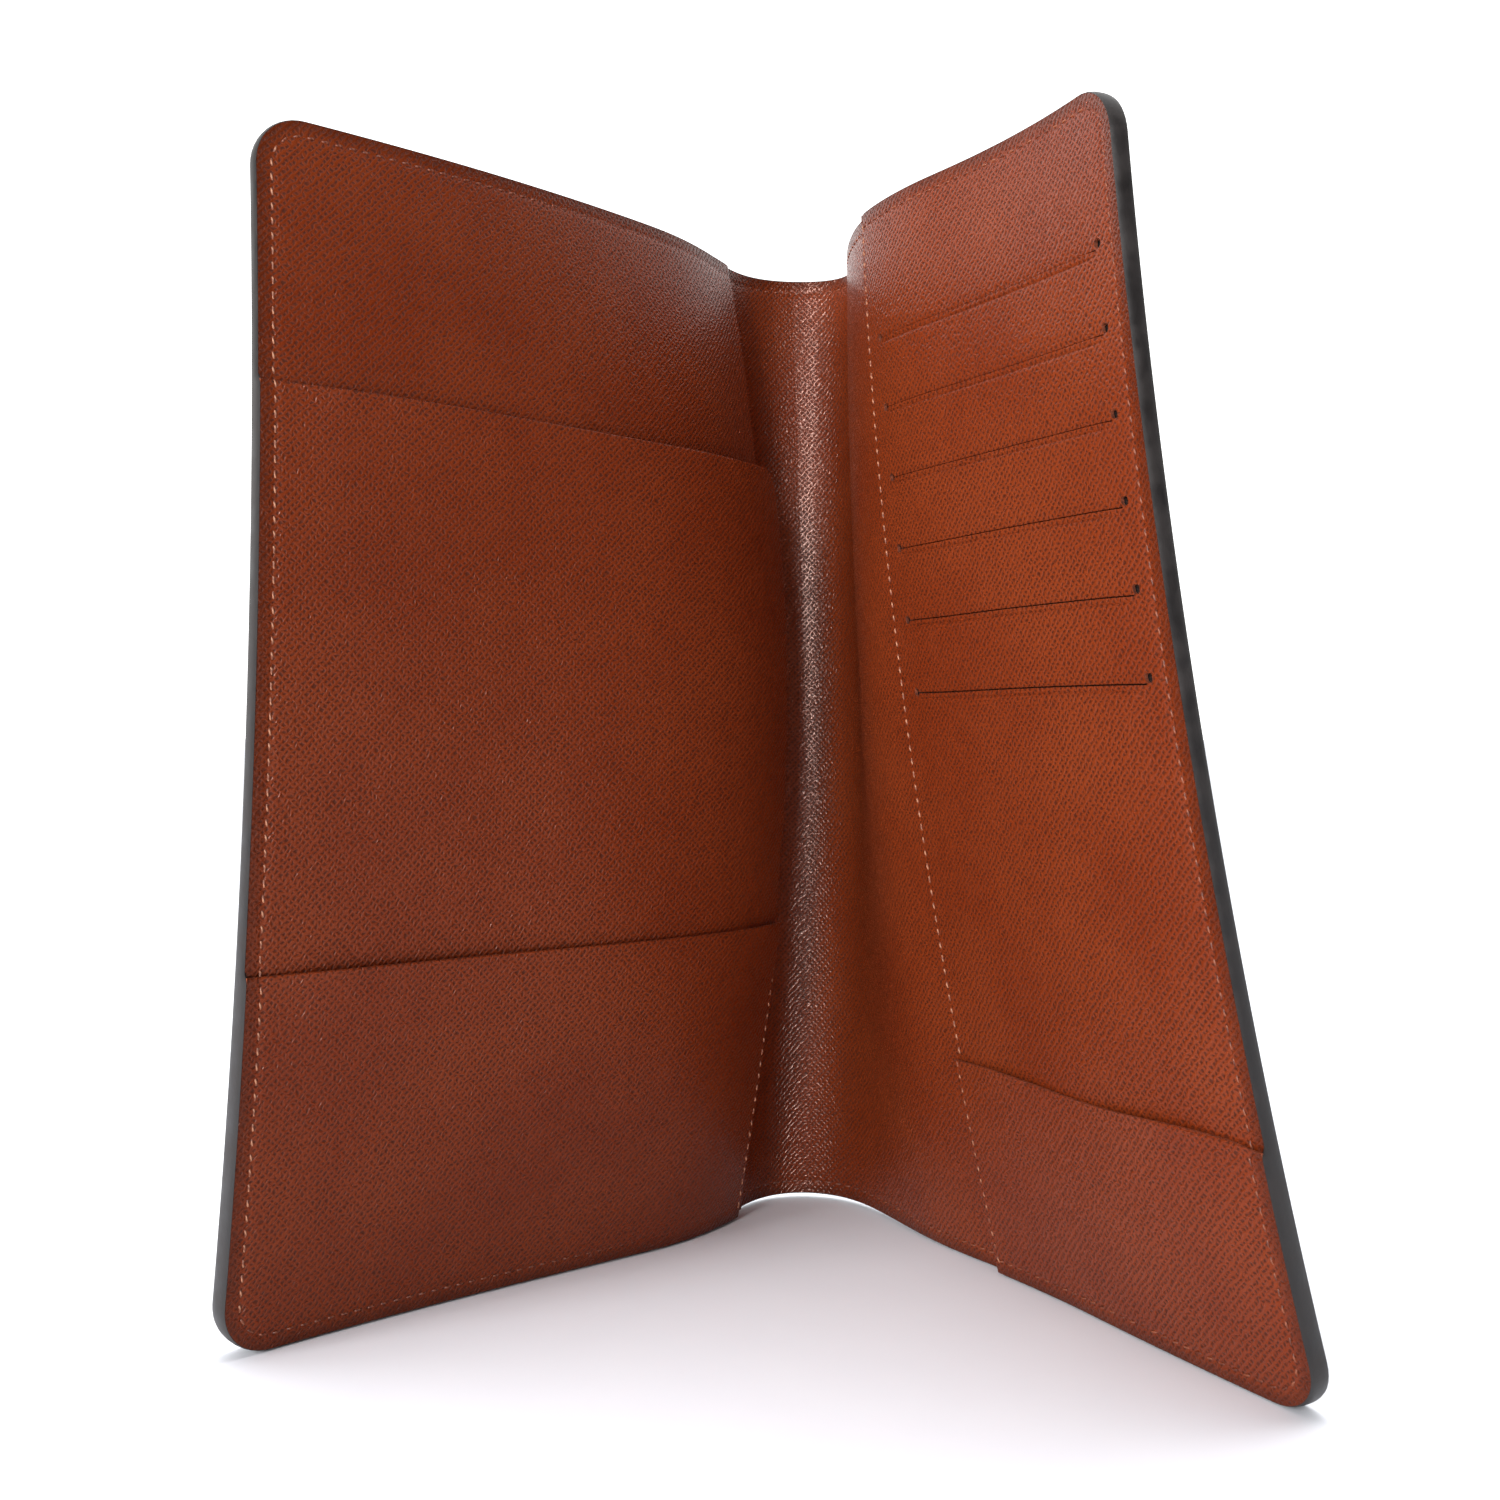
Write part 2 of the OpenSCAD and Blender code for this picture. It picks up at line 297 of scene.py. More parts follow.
# Distances from an outer edge where the mesh is finer: the rounded rim and the stitched line.
NEAR_EDGE = (0, 0.1, 0.2, 0.35, 0.7, 1.3, 1.8, 2.1, 2.4, 2.7, 3.0, 3.6, 4.6, 6.0, 8.0)
NEAR_CUT = (0, 0.08, 0.18, 0.32, 0.7, 1.3, 2.0)


def marks(low, high, spacing, near_low=(), near_high=(), more=()):
    """Sorted places from low to high, evenly spaced and finer near the ends."""
    first = low + (near_low[-1] if len(near_low) else 0)
    last = high - (near_high[-1] if len(near_high) else 0)
    places = np.linspace(first, last, max(2, int(math.ceil((last - first) / spacing)) + 1))
    places = np.concatenate(
        [places, low + np.array(near_low), high - np.array(near_high), np.array(more, float)]
    )
    return np.unique(np.round(places[(places >= low) & (places <= high)], 3))


def corner_rows(rows):
    """Adds the rows that draw the rounded corners."""
    turn = CORNER * (1 - np.cos(np.radians(np.arange(0, 91, 7.5))))
    return np.unique(np.round(np.concatenate([rows, turn, HEIGHT - turn]), 3))


def link(name, mesh, *materials):
    """Puts a mesh into the scene under a name, with its materials."""
    piece = bpy.data.objects.new(name, mesh)
    bpy.context.scene.collection.objects.link(piece)
    for material in materials:
        mesh.materials.append(material)
    return piece


def finish_mesh(name, points, faces, sheet_mm, rim, materials, sharp=35):
    """A mesh with its sheet coordinates kept for the leather's grain."""
    mesh = bpy.data.meshes.new(name)
    mesh.from_pydata([tuple(p) for p in points], [], faces)
    grain = mesh.attributes.new("sheet_mm", "FLOAT_VECTOR", "POINT")
    grain.data.foreach_set("vector", np.asarray(sheet_mm, np.float32).ravel())
    mesh.polygons.foreach_set("material_index", np.asarray(rim, np.int32))
    mesh.polygons.foreach_set("use_smooth", np.ones(len(faces), bool))
    mesh.set_sharp_from_angle(angle=math.radians(sharp))
    mesh.validate()
    return link(name, mesh, *materials)


def leaf(name, along, up, front, back, materials, holes=None, snap=None, placed_up=None):
    """A closed slab of leather between two faces, over a grid of places on the sheet.

    along and up are grids. holes says which cells are cut away, and snap moves the grid's points
    onto the rims of punched holes. placed_up is up again where a piece was sewn on a little askew.
    """
    rows, cols = along.shape
    if snap:
        along, up = snap(along, up)
    faces, rim, keep = [], [], np.ones((rows - 1, cols - 1), bool)
    if holes is not None:
        middle_a = (along[1:, 1:] + along[:-1, :-1]) / 2
        middle_u = (up[1:, 1:] + up[:-1, :-1]) / 2
        keep = ~holes(middle_a, middle_u)
    count = rows * cols
    edge = edge_distance(along, up)
    placed = up if placed_up is None else placed_up
    points = np.concatenate(
        [
            sheet_points(along, placed, front(along, up)).reshape(-1, 3),
            sheet_points(along, placed, back(along, up)).reshape(-1, 3),
        ]
    )
    sheet_mm = np.tile(np.stack([along, up, edge], -1).reshape(-1, 3), (2, 1))

    def at(r, c):
        return r * cols + c

    for r in range(rows - 1):
        for c in range(cols - 1):
            if not keep[r, c]:
                continue
            quad = (at(r, c), at(r, c + 1), at(r + 1, c + 1), at(r + 1, c))
            faces.append(quad)
            rim.append(0)
            faces.append(tuple(count + k for k in reversed(quad)))
            rim.append(0)
            sides = (
                (r == 0 or not keep[r - 1, c], quad[0], quad[1]),
                (c == cols - 2 or not keep[r, c + 1], quad[1], quad[2]),
                (r == rows - 2 or not keep[r + 1, c], quad[2], quad[3]),
                (c == 0 or not keep[r, c - 1], quad[3], quad[0]),
            )
            for outside, a, b in sides:
                if outside:
                    faces.append((b, a, count + a, count + b))
                    rim.append(1)
    used = np.unique(np.concatenate([np.array(f) for f in faces]))
    place = -np.ones(2 * count, int)
    place[used] = np.arange(len(used))
    faces = [tuple(int(place[k]) for k in f) for f in faces]
    return finish_mesh(name, points[used], faces, sheet_mm[used], rim, materials)


def grid(columns, rows, left_round=False, right_round=False):
    """Grids of along and up, drawn in at the wallet's rounded corners."""
    along, up = np.meshgrid(columns, rows)
    inset = corner_inset(up)
    if left_round:
        near = np.clip((columns[-1] - along) / (columns[-1] - columns[0]), 0, 1)
        fade = np.where(along - columns[0] < CORNER, 1, near)
        along = along + inset * fade
    if right_round:
        near = np.clip((along - columns[0]) / (columns[-1] - columns[0]), 0, 1)
        fade = np.where(columns[-1] - along < CORNER, 1, near)
        along = along - inset * fade
    return along, up


# ---------------------------------------------------------------------------------------------
# Materials
# ---------------------------------------------------------------------------------------------


def linear(code):
    """An sRGB hex colour as linear RGBA."""
    parts = [int(code[k : k + 2], 16) / 255 for k in (1, 3, 5)]
    turned = [p / 12.92 if p <= 0.04045 else ((p + 0.055) / 1.055) ** 2.4 for p in parts]
    return (*turned, 1.0)


def add(tree, kind, settings=None, **inputs):
    """Adds a node. settings are its own properties, and inputs are its sockets.

    An input is named, with _ for a space, or is i and its number. It is given a number or a socket.
    """
    node = tree.nodes.new(kind)
    for key, value in (settings or {}).items():
        setattr(node, key, value)
    for key, value in inputs.items():
        key = key.replace("_", " ") if key.replace("_", " ") in node.inputs else key
        numbered = key[0] == "i" and key[1:].isdigit()
        socket = node.inputs[int(key[1:]) if numbered else key]
        if isinstance(value, bpy.types.NodeSocket):
            tree.links.new(value, socket)
        else:
            socket.default_value = value
    return node


def new_material(name):
    """An empty material with its output, and its tree."""
    material = bpy.data.materials.new(name)
    material.use_nodes = True
    material.node_tree.nodes.clear()
    return material, material.node_tree


def surface(material, shader):
    """Joins a shader to the material's output."""
    tree = material.node_tree
    add(tree, "ShaderNodeOutputMaterial", Surface=shader.outputs[0])
    return material


def ramp(tree, value, low, high, out_low=0.0, out_high=1.0):
    """value, carried from low..high to out_low..out_high and held at the ends."""
    settings = {"interpolation_type": "SMOOTHSTEP"}
    node = add(tree, "ShaderNodeMapRange", settings, i0=value, i1=low, i2=high, i3=out_low, i4=out_high)
    return node.outputs[0]


def mix(tree, share, first, second, how="MIX"):
    """A colour between first and second."""
    settings = {"data_type": "RGBA", "blend_type": how}
    return add(tree, "ShaderNodeMix", settings, i0=share, i6=first, i7=second).outputs[2]


def sums(tree, how, first, second):
    """Arithmetic on two values."""
    return add(tree, "ShaderNodeMath", {"operation": how}, i0=first, i1=second).outputs[0]


def cross_grain_leather(name, face, pit_and_edge_shade, warm, shine=0.24):
    """Calf leather pressed with a fine cross grain and finished with a hard waxy coat.

    It gives the eye short slanting ridges with dark pits between them, crossing at right angles,
    a soft broad shine, and small changes of tone over a few centimetres.
    """
    material, tree = new_material(name)
    sheet = add(tree, "ShaderNodeAttribute", {"attribute_name": "sheet_mm"}).outputs["Vector"]
    edge = add(tree, "ShaderNodeSeparateXYZ", i0=sheet).outputs[2]
    flat = add(tree, "ShaderNodeVectorMath", {"operation": "MULTIPLY"}, i0=sheet, i1=(1, 1, 0))
    drift = add(tree, "ShaderNodeTexNoise", Vector=flat.outputs[0], Scale=0.8, Detail=1.0)
    bent = add(
        tree, "ShaderNodeVectorMath", {"operation": "MULTIPLY_ADD"},
        i0=drift.outputs["Color"], i1=(1.0, 1.0, 0.0), i2=flat.outputs[0],
    )
    # Two families of ridges cross at right angles, with a dark pit in each square between them.
    # Slow noise makes some ridges taller, so that they break up.
    ridge_mm = 0.85
    turn_per_mm = 2 * math.pi / ridge_mm
    turned = add(
        tree, "ShaderNodeMapping", Vector=bent.outputs[0],
        Rotation=(0, 0, math.radians(44)), Scale=(turn_per_mm, turn_per_mm, 1),
    )
    across = add(tree, "ShaderNodeSeparateXYZ", i0=turned.outputs[0])
    uneven = add(tree, "ShaderNodeTexNoise", Vector=flat.outputs[0], Scale=1.1, Detail=2.0)
    ridges = []
    for axis, low, high in ((0, 0.75, 1.3), (1, 1.05, 0.4)):
        wave = sums(tree, "SINE", across.outputs[axis], 0.0)
        wave = add(tree, "ShaderNodeMapRange", i0=wave, i1=-0.9, i2=0.85).outputs[0]
        tall = add(tree, "ShaderNodeMapRange", i0=uneven.outputs[0], i1=0.3, i2=0.7, i3=low, i4=high)
        ridges.append(sums(tree, "MULTIPLY", wave, tall.outputs[0]))
    raised = sums(tree, "MAXIMUM", ridges[0], ridges[1])
    # Tone drifts over two to four centimetres, and the coat wears a little unevenly.
    broad = add(tree, "ShaderNodeTexNoise", Vector=flat.outputs[0], Scale=0.035, Detail=2.0)
    patch = add(tree, "ShaderNodeTexNoise", Vector=flat.outputs[0], Scale=0.22, Detail=3.0)
    tone = mix(tree, ramp(tree, broad.outputs[0], 0.3, 0.7), linear(face), linear(warm))
    tone = mix(tree, ramp(tree, raised, 0.1, 0.8), linear(pit_and_edge_shade), tone)
    # Painted shade: the leather is darkened along the outer edge, where its rounded margin falls into
    # shade.
    painted_edge_shade = ramp(tree, edge, 0.4, 2.7, 0.7, 0.0)
    tone = mix(tree, painted_edge_shade, tone, linear(pit_and_edge_shade))
    fleck = ramp(tree, patch.outputs[0], 0.35, 0.75, 0.0, 0.22)
    tone = mix(tree, fleck, tone, linear(warm))
    fine = add(tree, "ShaderNodeTexNoise", Vector=flat.outputs[0], Scale=3.5, Detail=2.0)
    height = sums(tree, "MULTIPLY_ADD", fine.outputs[0], 0.1)
    tree.links.new(raised, height.node.inputs[2])
    bump = add(tree, "ShaderNodeBump", Height=height, Strength=1.0, Distance=0.000095)
    rough = ramp(tree, raised, 0.2, 0.9, shine + 0.3, shine)
    shader = add(
        tree, "ShaderNodeBsdfPrincipled",
        Base_Color=tone, Roughness=rough, IOR=1.46, Specular_IOR_Level=0.25,
        Specular_Tint=linear("#FFD9CC"), Normal=bump.outputs[0],
    )
    return surface(material, shader)


def skived_leather_edge():
    """Raw cut edge of thin leather, dyed through and rubbed down: matt, fibrous and a bit lighter."""
    material, tree = new_material("skived_leather_edge")
    place = add(tree, "ShaderNodeTexCoord").outputs["Object"]
    fibre = add(tree, "ShaderNodeTexNoise", Vector=place, Scale=1400.0, Detail=3.0)
    tone = mix(tree, ramp(tree, fibre.outputs[0], 0.3, 0.7), linear("#5E2A17"), linear("#94492B"))
    bump = add(tree, "ShaderNodeBump", Height=fibre.outputs[0], Strength=0.5, Distance=0.00008)
    shader = add(tree, "ShaderNodeBsdfPrincipled", Base_Color=tone, Roughness=0.7,
                 IOR=1.45, Specular_IOR_Level=0.25, Normal=bump.outputs[0])
    return surface(material, shader)


def pebbled_outer_leather():
    """Cowhide tumbled to a small round pebble, dyed dark brown: cells 1 to 2 mm wide, soft shine."""
    material, tree = new_material("pebbled_outer_leather")
    sheet = add(tree, "ShaderNodeAttribute", {"attribute_name": "sheet_mm"}).outputs["Vector"]
    edge = add(tree, "ShaderNodeSeparateXYZ", i0=sheet).outputs[2]
    flat = add(tree, "ShaderNodeVectorMath", {"operation": "MULTIPLY"}, i0=sheet, i1=(1, 1, 0))
    cells = add(
        tree, "ShaderNodeTexVoronoi",
        {"feature": "DISTANCE_TO_EDGE", "voronoi_dimensions": "2D"},
        Vector=flat.outputs[0], Scale=0.7, Randomness=0.9,
    )
    raised = ramp(tree, cells.outputs["Distance"], 0.0, 0.22)
    broad = add(tree, "ShaderNodeTexNoise", Vector=flat.outputs[0], Scale=0.05, Detail=3.0)
    tone = mix(tree, ramp(tree, broad.outputs[0], 0.3, 0.7), linear("#44261B"), linear("#4E2C20"))
    tone = mix(tree, raised, linear("#24130D"), tone)
    # Painted shade: the leather is darkened along the outer edge, as on the lining.
    tone = mix(tree, ramp(tree, edge, 0.0, 2.0, 0.5, 0.0), tone, linear("#24130D"))
    bump = add(tree, "ShaderNodeBump", Height=raised, Strength=0.6, Distance=0.00025)
    rough = ramp(tree, raised, 0.0, 1.0, 0.65, 0.42)
    shader = add(tree, "ShaderNodeBsdfPrincipled", Base_Color=tone, Roughness=rough,
                 IOR=1.46, Specular_IOR_Level=0.4, Normal=bump.outputs[0])
    return surface(material, shader)


def painted_edge():
    """Edge paint in several rubbed coats: near black, satin, with faint runs along the edge."""
    material, tree = new_material("painted_edge")
    place = add(tree, "ShaderNodeTexCoord").outputs["Object"]
    coat = add(tree, "ShaderNodeTexNoise", Vector=place, Scale=260.0, Detail=3.0)
    grit = add(tree, "ShaderNodeTexNoise", Vector=place, Scale=1600.0, Detail=1.0)
    tone = mix(tree, ramp(tree, coat.outputs[0], 0.3, 0.7), linear("#15100F"), linear("#241E1C"))
    bump = add(tree, "ShaderNodeBump", Height=grit.outputs[0], Strength=0.3, Distance=0.00006)
    rough = ramp(tree, coat.outputs[0], 0.2, 0.8, 0.42, 0.6)
    shader = add(tree, "ShaderNodeBsdfPrincipled", Base_Color=tone, Roughness=rough,
                 IOR=1.48, Specular_IOR_Level=0.35, Normal=bump.outputs[0])
    return surface(material, shader)


def waxed_thread(name, dark, light):
    """Waxed polyester thread, three strands laid together: rust to tan, with a slanting twist."""
    material, tree = new_material(name)
    place = add(tree, "ShaderNodeTexCoord").outputs["Object"]
    # Light and dark strands follow each other once a millimetre along an upright stitch.
    twist = add(tree, "ShaderNodeTexWave", {"bands_direction": "DIAGONAL"},
                Vector=place, Scale=600.0, Distortion=1.5)
    tone = mix(tree, ramp(tree, twist.outputs["Fac"], 0.2, 0.8), linear(dark), linear(light))
    bump = add(tree, "ShaderNodeBump", Height=twist.outputs["Fac"], Strength=0.5, Distance=0.00006)
    shader = add(tree, "ShaderNodeBsdfPrincipled", Base_Color=tone, Roughness=0.55,
                 IOR=1.5, Specular_IOR_Level=0.35, Normal=bump.outputs[0])
    return surface(material, shader)


def grey_board():
    """Pressed fibre board: dull, flecked with short fibres."""
    material, tree = new_material("grey_board")
    place = add(tree, "ShaderNodeTexCoord").outputs["Object"]
    fleck = add(tree, "ShaderNodeTexNoise", Vector=place, Scale=900.0, Detail=4.0)
    tone = mix(tree, ramp(tree, fleck.outputs[0], 0.3, 0.7), linear("#8F7F66"), linear("#B9A98C"))
    shader = add(tree, "ShaderNodeBsdfPrincipled", Base_Color=tone, Roughness=0.9,
                 IOR=1.45, Specular_IOR_Level=0.2)
    return surface(material, shader)


def pocket_cloth():
    """Plain woven polyester pocketing in dark brown: a thread each 0.4 mm, dull."""
    material, tree = new_material("pocket_cloth")
    sheet = add(tree, "ShaderNodeAttribute", {"attribute_name": "sheet_mm"}).outputs["Vector"]
    warp = add(tree, "ShaderNodeTexWave", {"bands_direction": "X"}, Vector=sheet, Scale=0.8)
    weft = add(tree, "ShaderNodeTexWave", {"bands_direction": "Y"}, Vector=sheet, Scale=0.8)
    weave = sums(tree, "MULTIPLY", warp.outputs["Fac"], weft.outputs["Fac"])
    tone = mix(tree, weave, linear("#1E120E"), linear("#3B2A24"))
    bump = add(tree, "ShaderNodeBump", Height=weave, Strength=0.4, Distance=0.00008)
    shader = add(tree, "ShaderNodeBsdfPrincipled", Base_Color=tone, Roughness=0.85,
                 IOR=1.45, Specular_IOR_Level=0.2, Normal=bump.outputs[0])
    return surface(material, shader)


def pale_paper():
    """Seamless studio paper: white, matt, with a faint tooth."""
    material, tree = new_material("pale_paper")
    place = add(tree, "ShaderNodeTexCoord").outputs["Object"]
    tooth = add(tree, "ShaderNodeTexNoise", Vector=place, Scale=60.0, Detail=2.0)
    tone = mix(tree, tooth.outputs[0], linear("#F3F5FC"), linear("#F7F9FF"))
    shader = add(tree, "ShaderNodeBsdfPrincipled", Base_Color=tone, Roughness=0.8,
                 IOR=1.45, Specular_IOR_Level=0.2)
    return surface(material, shader)


# ---------------------------------------------------------------------------------------------
# Camera, floor and light
# ---------------------------------------------------------------------------------------------


def make_camera():
    """A camera at mid height, a little to the right, turned 8 degrees to the left."""
    camera = bpy.data.cameras.new("camera")
    camera.lens = 36.96
    camera.sensor_width = 36.0
    camera.shift_y = -0.0817
    camera.clip_start = 0.01
    holder = bpy.data.objects.new("camera", camera)
    bpy.context.scene.collection.objects.link(holder)
    holder.location = (0.03197, -0.26735, 0.0950)
    holder.rotation_euler = (math.radians(90 + 3.9), 0, math.radians(8))
    bpy.context.scene.camera = holder


def make_floor(material):
    """A plain pale floor."""
    half = 20.0
    mesh = bpy.data.meshes.new("floor")
    corners = [(-half, -half, 0), (half, -half, 0), (half, half, 0), (-half, half, 0)]
    mesh.from_pydata(corners, [], [(0, 1, 2, 3)])
    link("floor", mesh, material)


def softbox(name, place, target, size, power, glint=False):
    """A rectangular soft light that faces a point. It lights colour, or as a glint only gloss."""
    lamp = bpy.data.lights.new(name, "AREA")
    lamp.shape = "RECTANGLE"
    lamp.size, lamp.size_y = size
    lamp.energy = power
    holder = bpy.data.objects.new(name, lamp)
    bpy.context.scene.collection.objects.link(holder)
    holder.location = place
    holder.visible_glossy = glint
    holder.visible_diffuse = not glint
    holder.rotation_euler = (Vector(target) - Vector(place)).to_track_quat("-Z", "Y").to_euler()


def make_light():
    """A white room behind the wallet, darker in front, with soft lights in front and above.

    Only the glint light and the room show in gloss: the glint runs down the spine.
    """
    world = bpy.data.worlds.new("studio")
    world.use_nodes = True
    tree = world.node_tree
    tree.nodes.clear()
    way = add(tree, "ShaderNodeTexCoord").outputs["Generated"]
    bright = add(
        tree, "ShaderNodeVectorMath", {"operation": "DOT_PRODUCT"},
        i0=way, i1=(-0.35, 1.0, 0.6),
    )
    share = ramp(tree, bright.outputs["Value"], -0.1, 0.55)
    colour = mix(tree, share, linear("#1E1C1E"), linear("#FFFFFF"))
    back = add(tree, "ShaderNodeBackground", Color=colour, Strength=1.78)
    add(tree, "ShaderNodeOutputWorld", Surface=back.outputs[0])
    bpy.context.scene.world = world
    softbox("key", (-0.85, -0.8, 0.5), (0.03, 0.0, 0.08), (0.4, 0.4), 7.2)
    softbox("front", (-0.4, -1.2, 0.35), (0.0, 0.03, 0.1), (0.3, 0.5), 8.6)
    softbox("glint", (-0.1, -1.3, 0.33), (0.0, 0.03, 0.1), (0.18, 0.62), 48.0, True)
    softbox("top", (0.0, 0.0, 1.3), (0.0, 0.0, 0.0), (0.8, 0.8), 7.5)
    bpy.context.scene.view_settings.view_transform = "Standard"


# ---------------------------------------------------------------------------------------------
# Pieces
# ---------------------------------------------------------------------------------------------


def follow(piece, part):
    """Bakes a piece's transform into its mesh, for the left part, the strip, or the card side."""
    if part == "left":
        point(-6)
        point(-19.5)
        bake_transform(piece)
    elif part == "strip":
        point(6)
        point(20)
        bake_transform(piece)
    else:
        point(27)
        point(56)
        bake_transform(piece)
    return piece


def dress(piece, slot, *nodes):
    """Hides the nodes of the frame that a piece stands for. slot is not used."""
    if nodes:
        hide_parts(*nodes)
    return piece


PARTS = {
    "left": (LEFT_EDGE, SPINE_CUT),
    "strip": (SPINE_CUT, STRIP_CUT),
    "card_side": (STRIP_CUT, RIGHT_EDGE),
}


def wall_grid(part):
    """The grid of one part of the wallet's wall."""
    low, high = PARTS[part]
    columns = marks(
        low, high, ALONG_SPACING,
        NEAR_EDGE if part == "left" else (),
        NEAR_EDGE if part == "card_side" else (),
    )
    rows = corner_rows(marks(0, HEIGHT, UP_SPACING, NEAR_EDGE, NEAR_EDGE))
    return grid(columns, rows, part == "left", part == "card_side")


def wall_layer(name, part, back, front, materials):
    """One layer of the wall. Only its two outer faces are drawn in by the stitching."""
    along, up = wall_grid(part)

    def front_face(a, u):
        return front - (seam_dip(a, u) if front > BOARD_FRONT else 0)

    def back_face(a, u):
        return back + (seam_dip(a, u) if back < BOARD_BACK else 0)

    return follow(leaf(name, along, up, front_face, back_face, materials), part)


def make_wall(outer, lining, cut, board):
    """The three layers of the wallet's wall, each in three parts."""
    outer_looks, lining_looks = (outer, cut), (lining, cut)
    for part, nodes in (
        ("left", ("left_outer_cover", "spine_cover")),
        ("strip", ("fold_strip_cover",)),
        ("card_side", ("right_outer_cover",)),
    ):
        piece = wall_layer("outer_leather_" + part, part, BACK_FACE, BOARD_BACK, outer_looks)
        dress(piece, "outer_leather", *nodes)
    for part, nodes in (
        ("left", ("left_lining", "spine_lining")),
        ("strip", ("fold_strip_lining",)),
        ("card_side", ("right_lining",)),
    ):
        piece = wall_layer("lining_leather_" + part, part, BOARD_FRONT, LINING_FACE, lining_looks)
        dress(piece, "lining_leather", *nodes)
    for part, nodes in (
        ("left", ("left_stiffener_board", "spine_reinforcement")),
        ("strip", ()),
        ("card_side", ("right_stiffener_board",)),
    ):
        piece = wall_layer("board_" + part, part, BOARD_BACK, BOARD_FRONT, (board, board))
        dress(piece, "stiffener_board", *nodes)


def flap(name, inner, top, face, gape, materials, rounded):
    """A left pocket: sewn along the cover's edges, with its inner edge free and lifted."""
    open_top = top < HEIGHT
    last = top if open_top else HEIGHT - TUCK
    columns = marks(LEFT_EDGE + TUCK, inner, ALONG_SPACING, NEAR_EDGE, NEAR_CUT)
    rows = marks(TUCK, last, UP_SPACING, NEAR_EDGE, NEAR_CUT if open_top else NEAR_EDGE)
    rows = corner_rows(rows)
    rows = rows[(rows >= TUCK) & (rows <= last)]
    if rounded:
        turn = rounded * (1 - np.cos(np.radians(np.arange(0, 91, 9))))
        rows = np.unique(np.round(np.concatenate([rows, top - turn]), 3))
    along, up = grid(columns, rows, True)
    up_on_sheet = up
    if rounded:
        deep = np.clip(up - (top - rounded), 0, rounded)
        draw_in = rounded - np.sqrt(np.maximum(rounded**2 - deep**2, 0))
        reach = 24
        along = along - draw_in * smooth((along - (inner - reach)) / reach)
        drop = FLAP_DROP * smooth((along + 110) / 80)
        up_on_sheet = up - drop * np.clip(up / top, 0, 1) ** 3

    def free_edge(a, u):
        side = inner - a
        end = (top - u) if open_top else HEIGHT
        if not rounded:
            return np.minimum(side, end)
        cx, cy = np.maximum(rounded - side, 0), np.maximum(rounded - end, 0)
        return np.where((cx > 0) & (cy > 0), rounded - np.hypot(cx, cy), np.minimum(side, end))

    def front(a, u):
        wave = 0.0
        if open_top:
            # The mouth stands open by about half a millimetre, and its edge waves a little.
            wave = np.exp(-(top - u) / 9) * (0.55 + 0.25 * np.sin((a + 20) / 17.0))
            wave = wave * smooth((edge_distance(a, u) - 4) / 10)
        lift = flap_gape(a, u, gape) + wave
        return face + lift - seam_dip(a, u) - soft_rim(free_edge(a, u))

    def back(a, u):
        return front(a, u) - LEATHER + 2 * soft_rim(free_edge(a, u)) + seam_dip(a, u)

    piece = leaf(name, along, up, front, back, materials, placed_up=up_on_sheet)
    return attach(piece, "left_cover")


def make_left_pockets(leather, cut):
    """The slip pocket, the passport pocket over it and the low pocket over both."""
    looks = (leather, cut)
    for name, node, inner, top, face, gape, rounded in (
        ("slip_pocket_leather", "left_slip_pocket", SLIP_INNER, HEIGHT, SLIP_FACE, SLIP_GAPE, 0.0),
        ("passport_pocket_leather", "passport_pocket", FLAP_INNER, PASSPORT_TOP, PASSPORT_FACE,
         FLAP_GAPE, FLAP_CORNER),
        ("left_low_pocket_leather", "left_lower_pocket", FLAP_INNER, LEFT_LOW_TOP, LEFT_LOW_FACE,
         FLAP_GAPE, 0.0),
    ):
        dress(flap(name, inner, top, face, gape, looks, rounded), "lining_leather", node)


def slot_heights():
    """How high each card slot is, from the top one down."""
    return [SLOT_TOP - SLOT_PITCH * k for k in range(SLOTS)]


def slot_relief(along, up):
    """The card slots' lips, as how far the face rises: a lip, and a pressed line below it."""
    rise = np.zeros(np.shape(up))
    inside = smooth((along - SLOT_START) / 2) * smooth((SLOT_END - along) / 2)
    for height in slot_heights():
        below = height - SLOT_CUT / 2 - up
        lip = np.where(below > -0.05, 0.2 * np.exp(-np.maximum(below, 0) / 1.6), 0)
        line = -0.2 * np.exp(-(((below - 0.9) / 0.2) ** 2))
        above = -below - SLOT_CUT
        upper = np.where(above > -0.05, -0.2 * np.exp(-np.maximum(above, 0) / 1.2), 0)
        rise = rise + (lip + line + upper) * inside
    return rise


def slot_ends():
    """Centres of the punched holes, a little above each end of a cut."""
    starts = [(SLOT_START, u + START_HOLE_RISE) for u in slot_heights()]
    return starts + [(SLOT_END + END_HOLE_SHIFT, u + HOLE_RISE) for u in slot_heights()]


def slot_cells(along, up):
    """Cells of the card panel that are cut away."""
    cut = np.zeros(along.shape, bool)
    for height in slot_heights():
        cut |= (np.abs(up - height) < SLOT_CUT / 2) & (along > SLOT_START) & (along < SLOT_END)
    for a, u in slot_ends():
        cut |= np.hypot(along - a, up - u) < HOLE
    return cut


def round_holes(along, up):
    """Moves the grid's points near a punched hole onto its rim."""
    along, up = along.copy(), up.copy()
    for a, u in slot_ends():
        da, du = along - a, up - u
        far = np.hypot(da, du)
        near = (far > HOLE * 0.8) & (far < HOLE * 1.18)
        along[near] = (a + da * HOLE / np.maximum(far, 1e-6))[near]
        up[near] = (u + du * HOLE / np.maximum(far, 1e-6))[near]
    return along, up


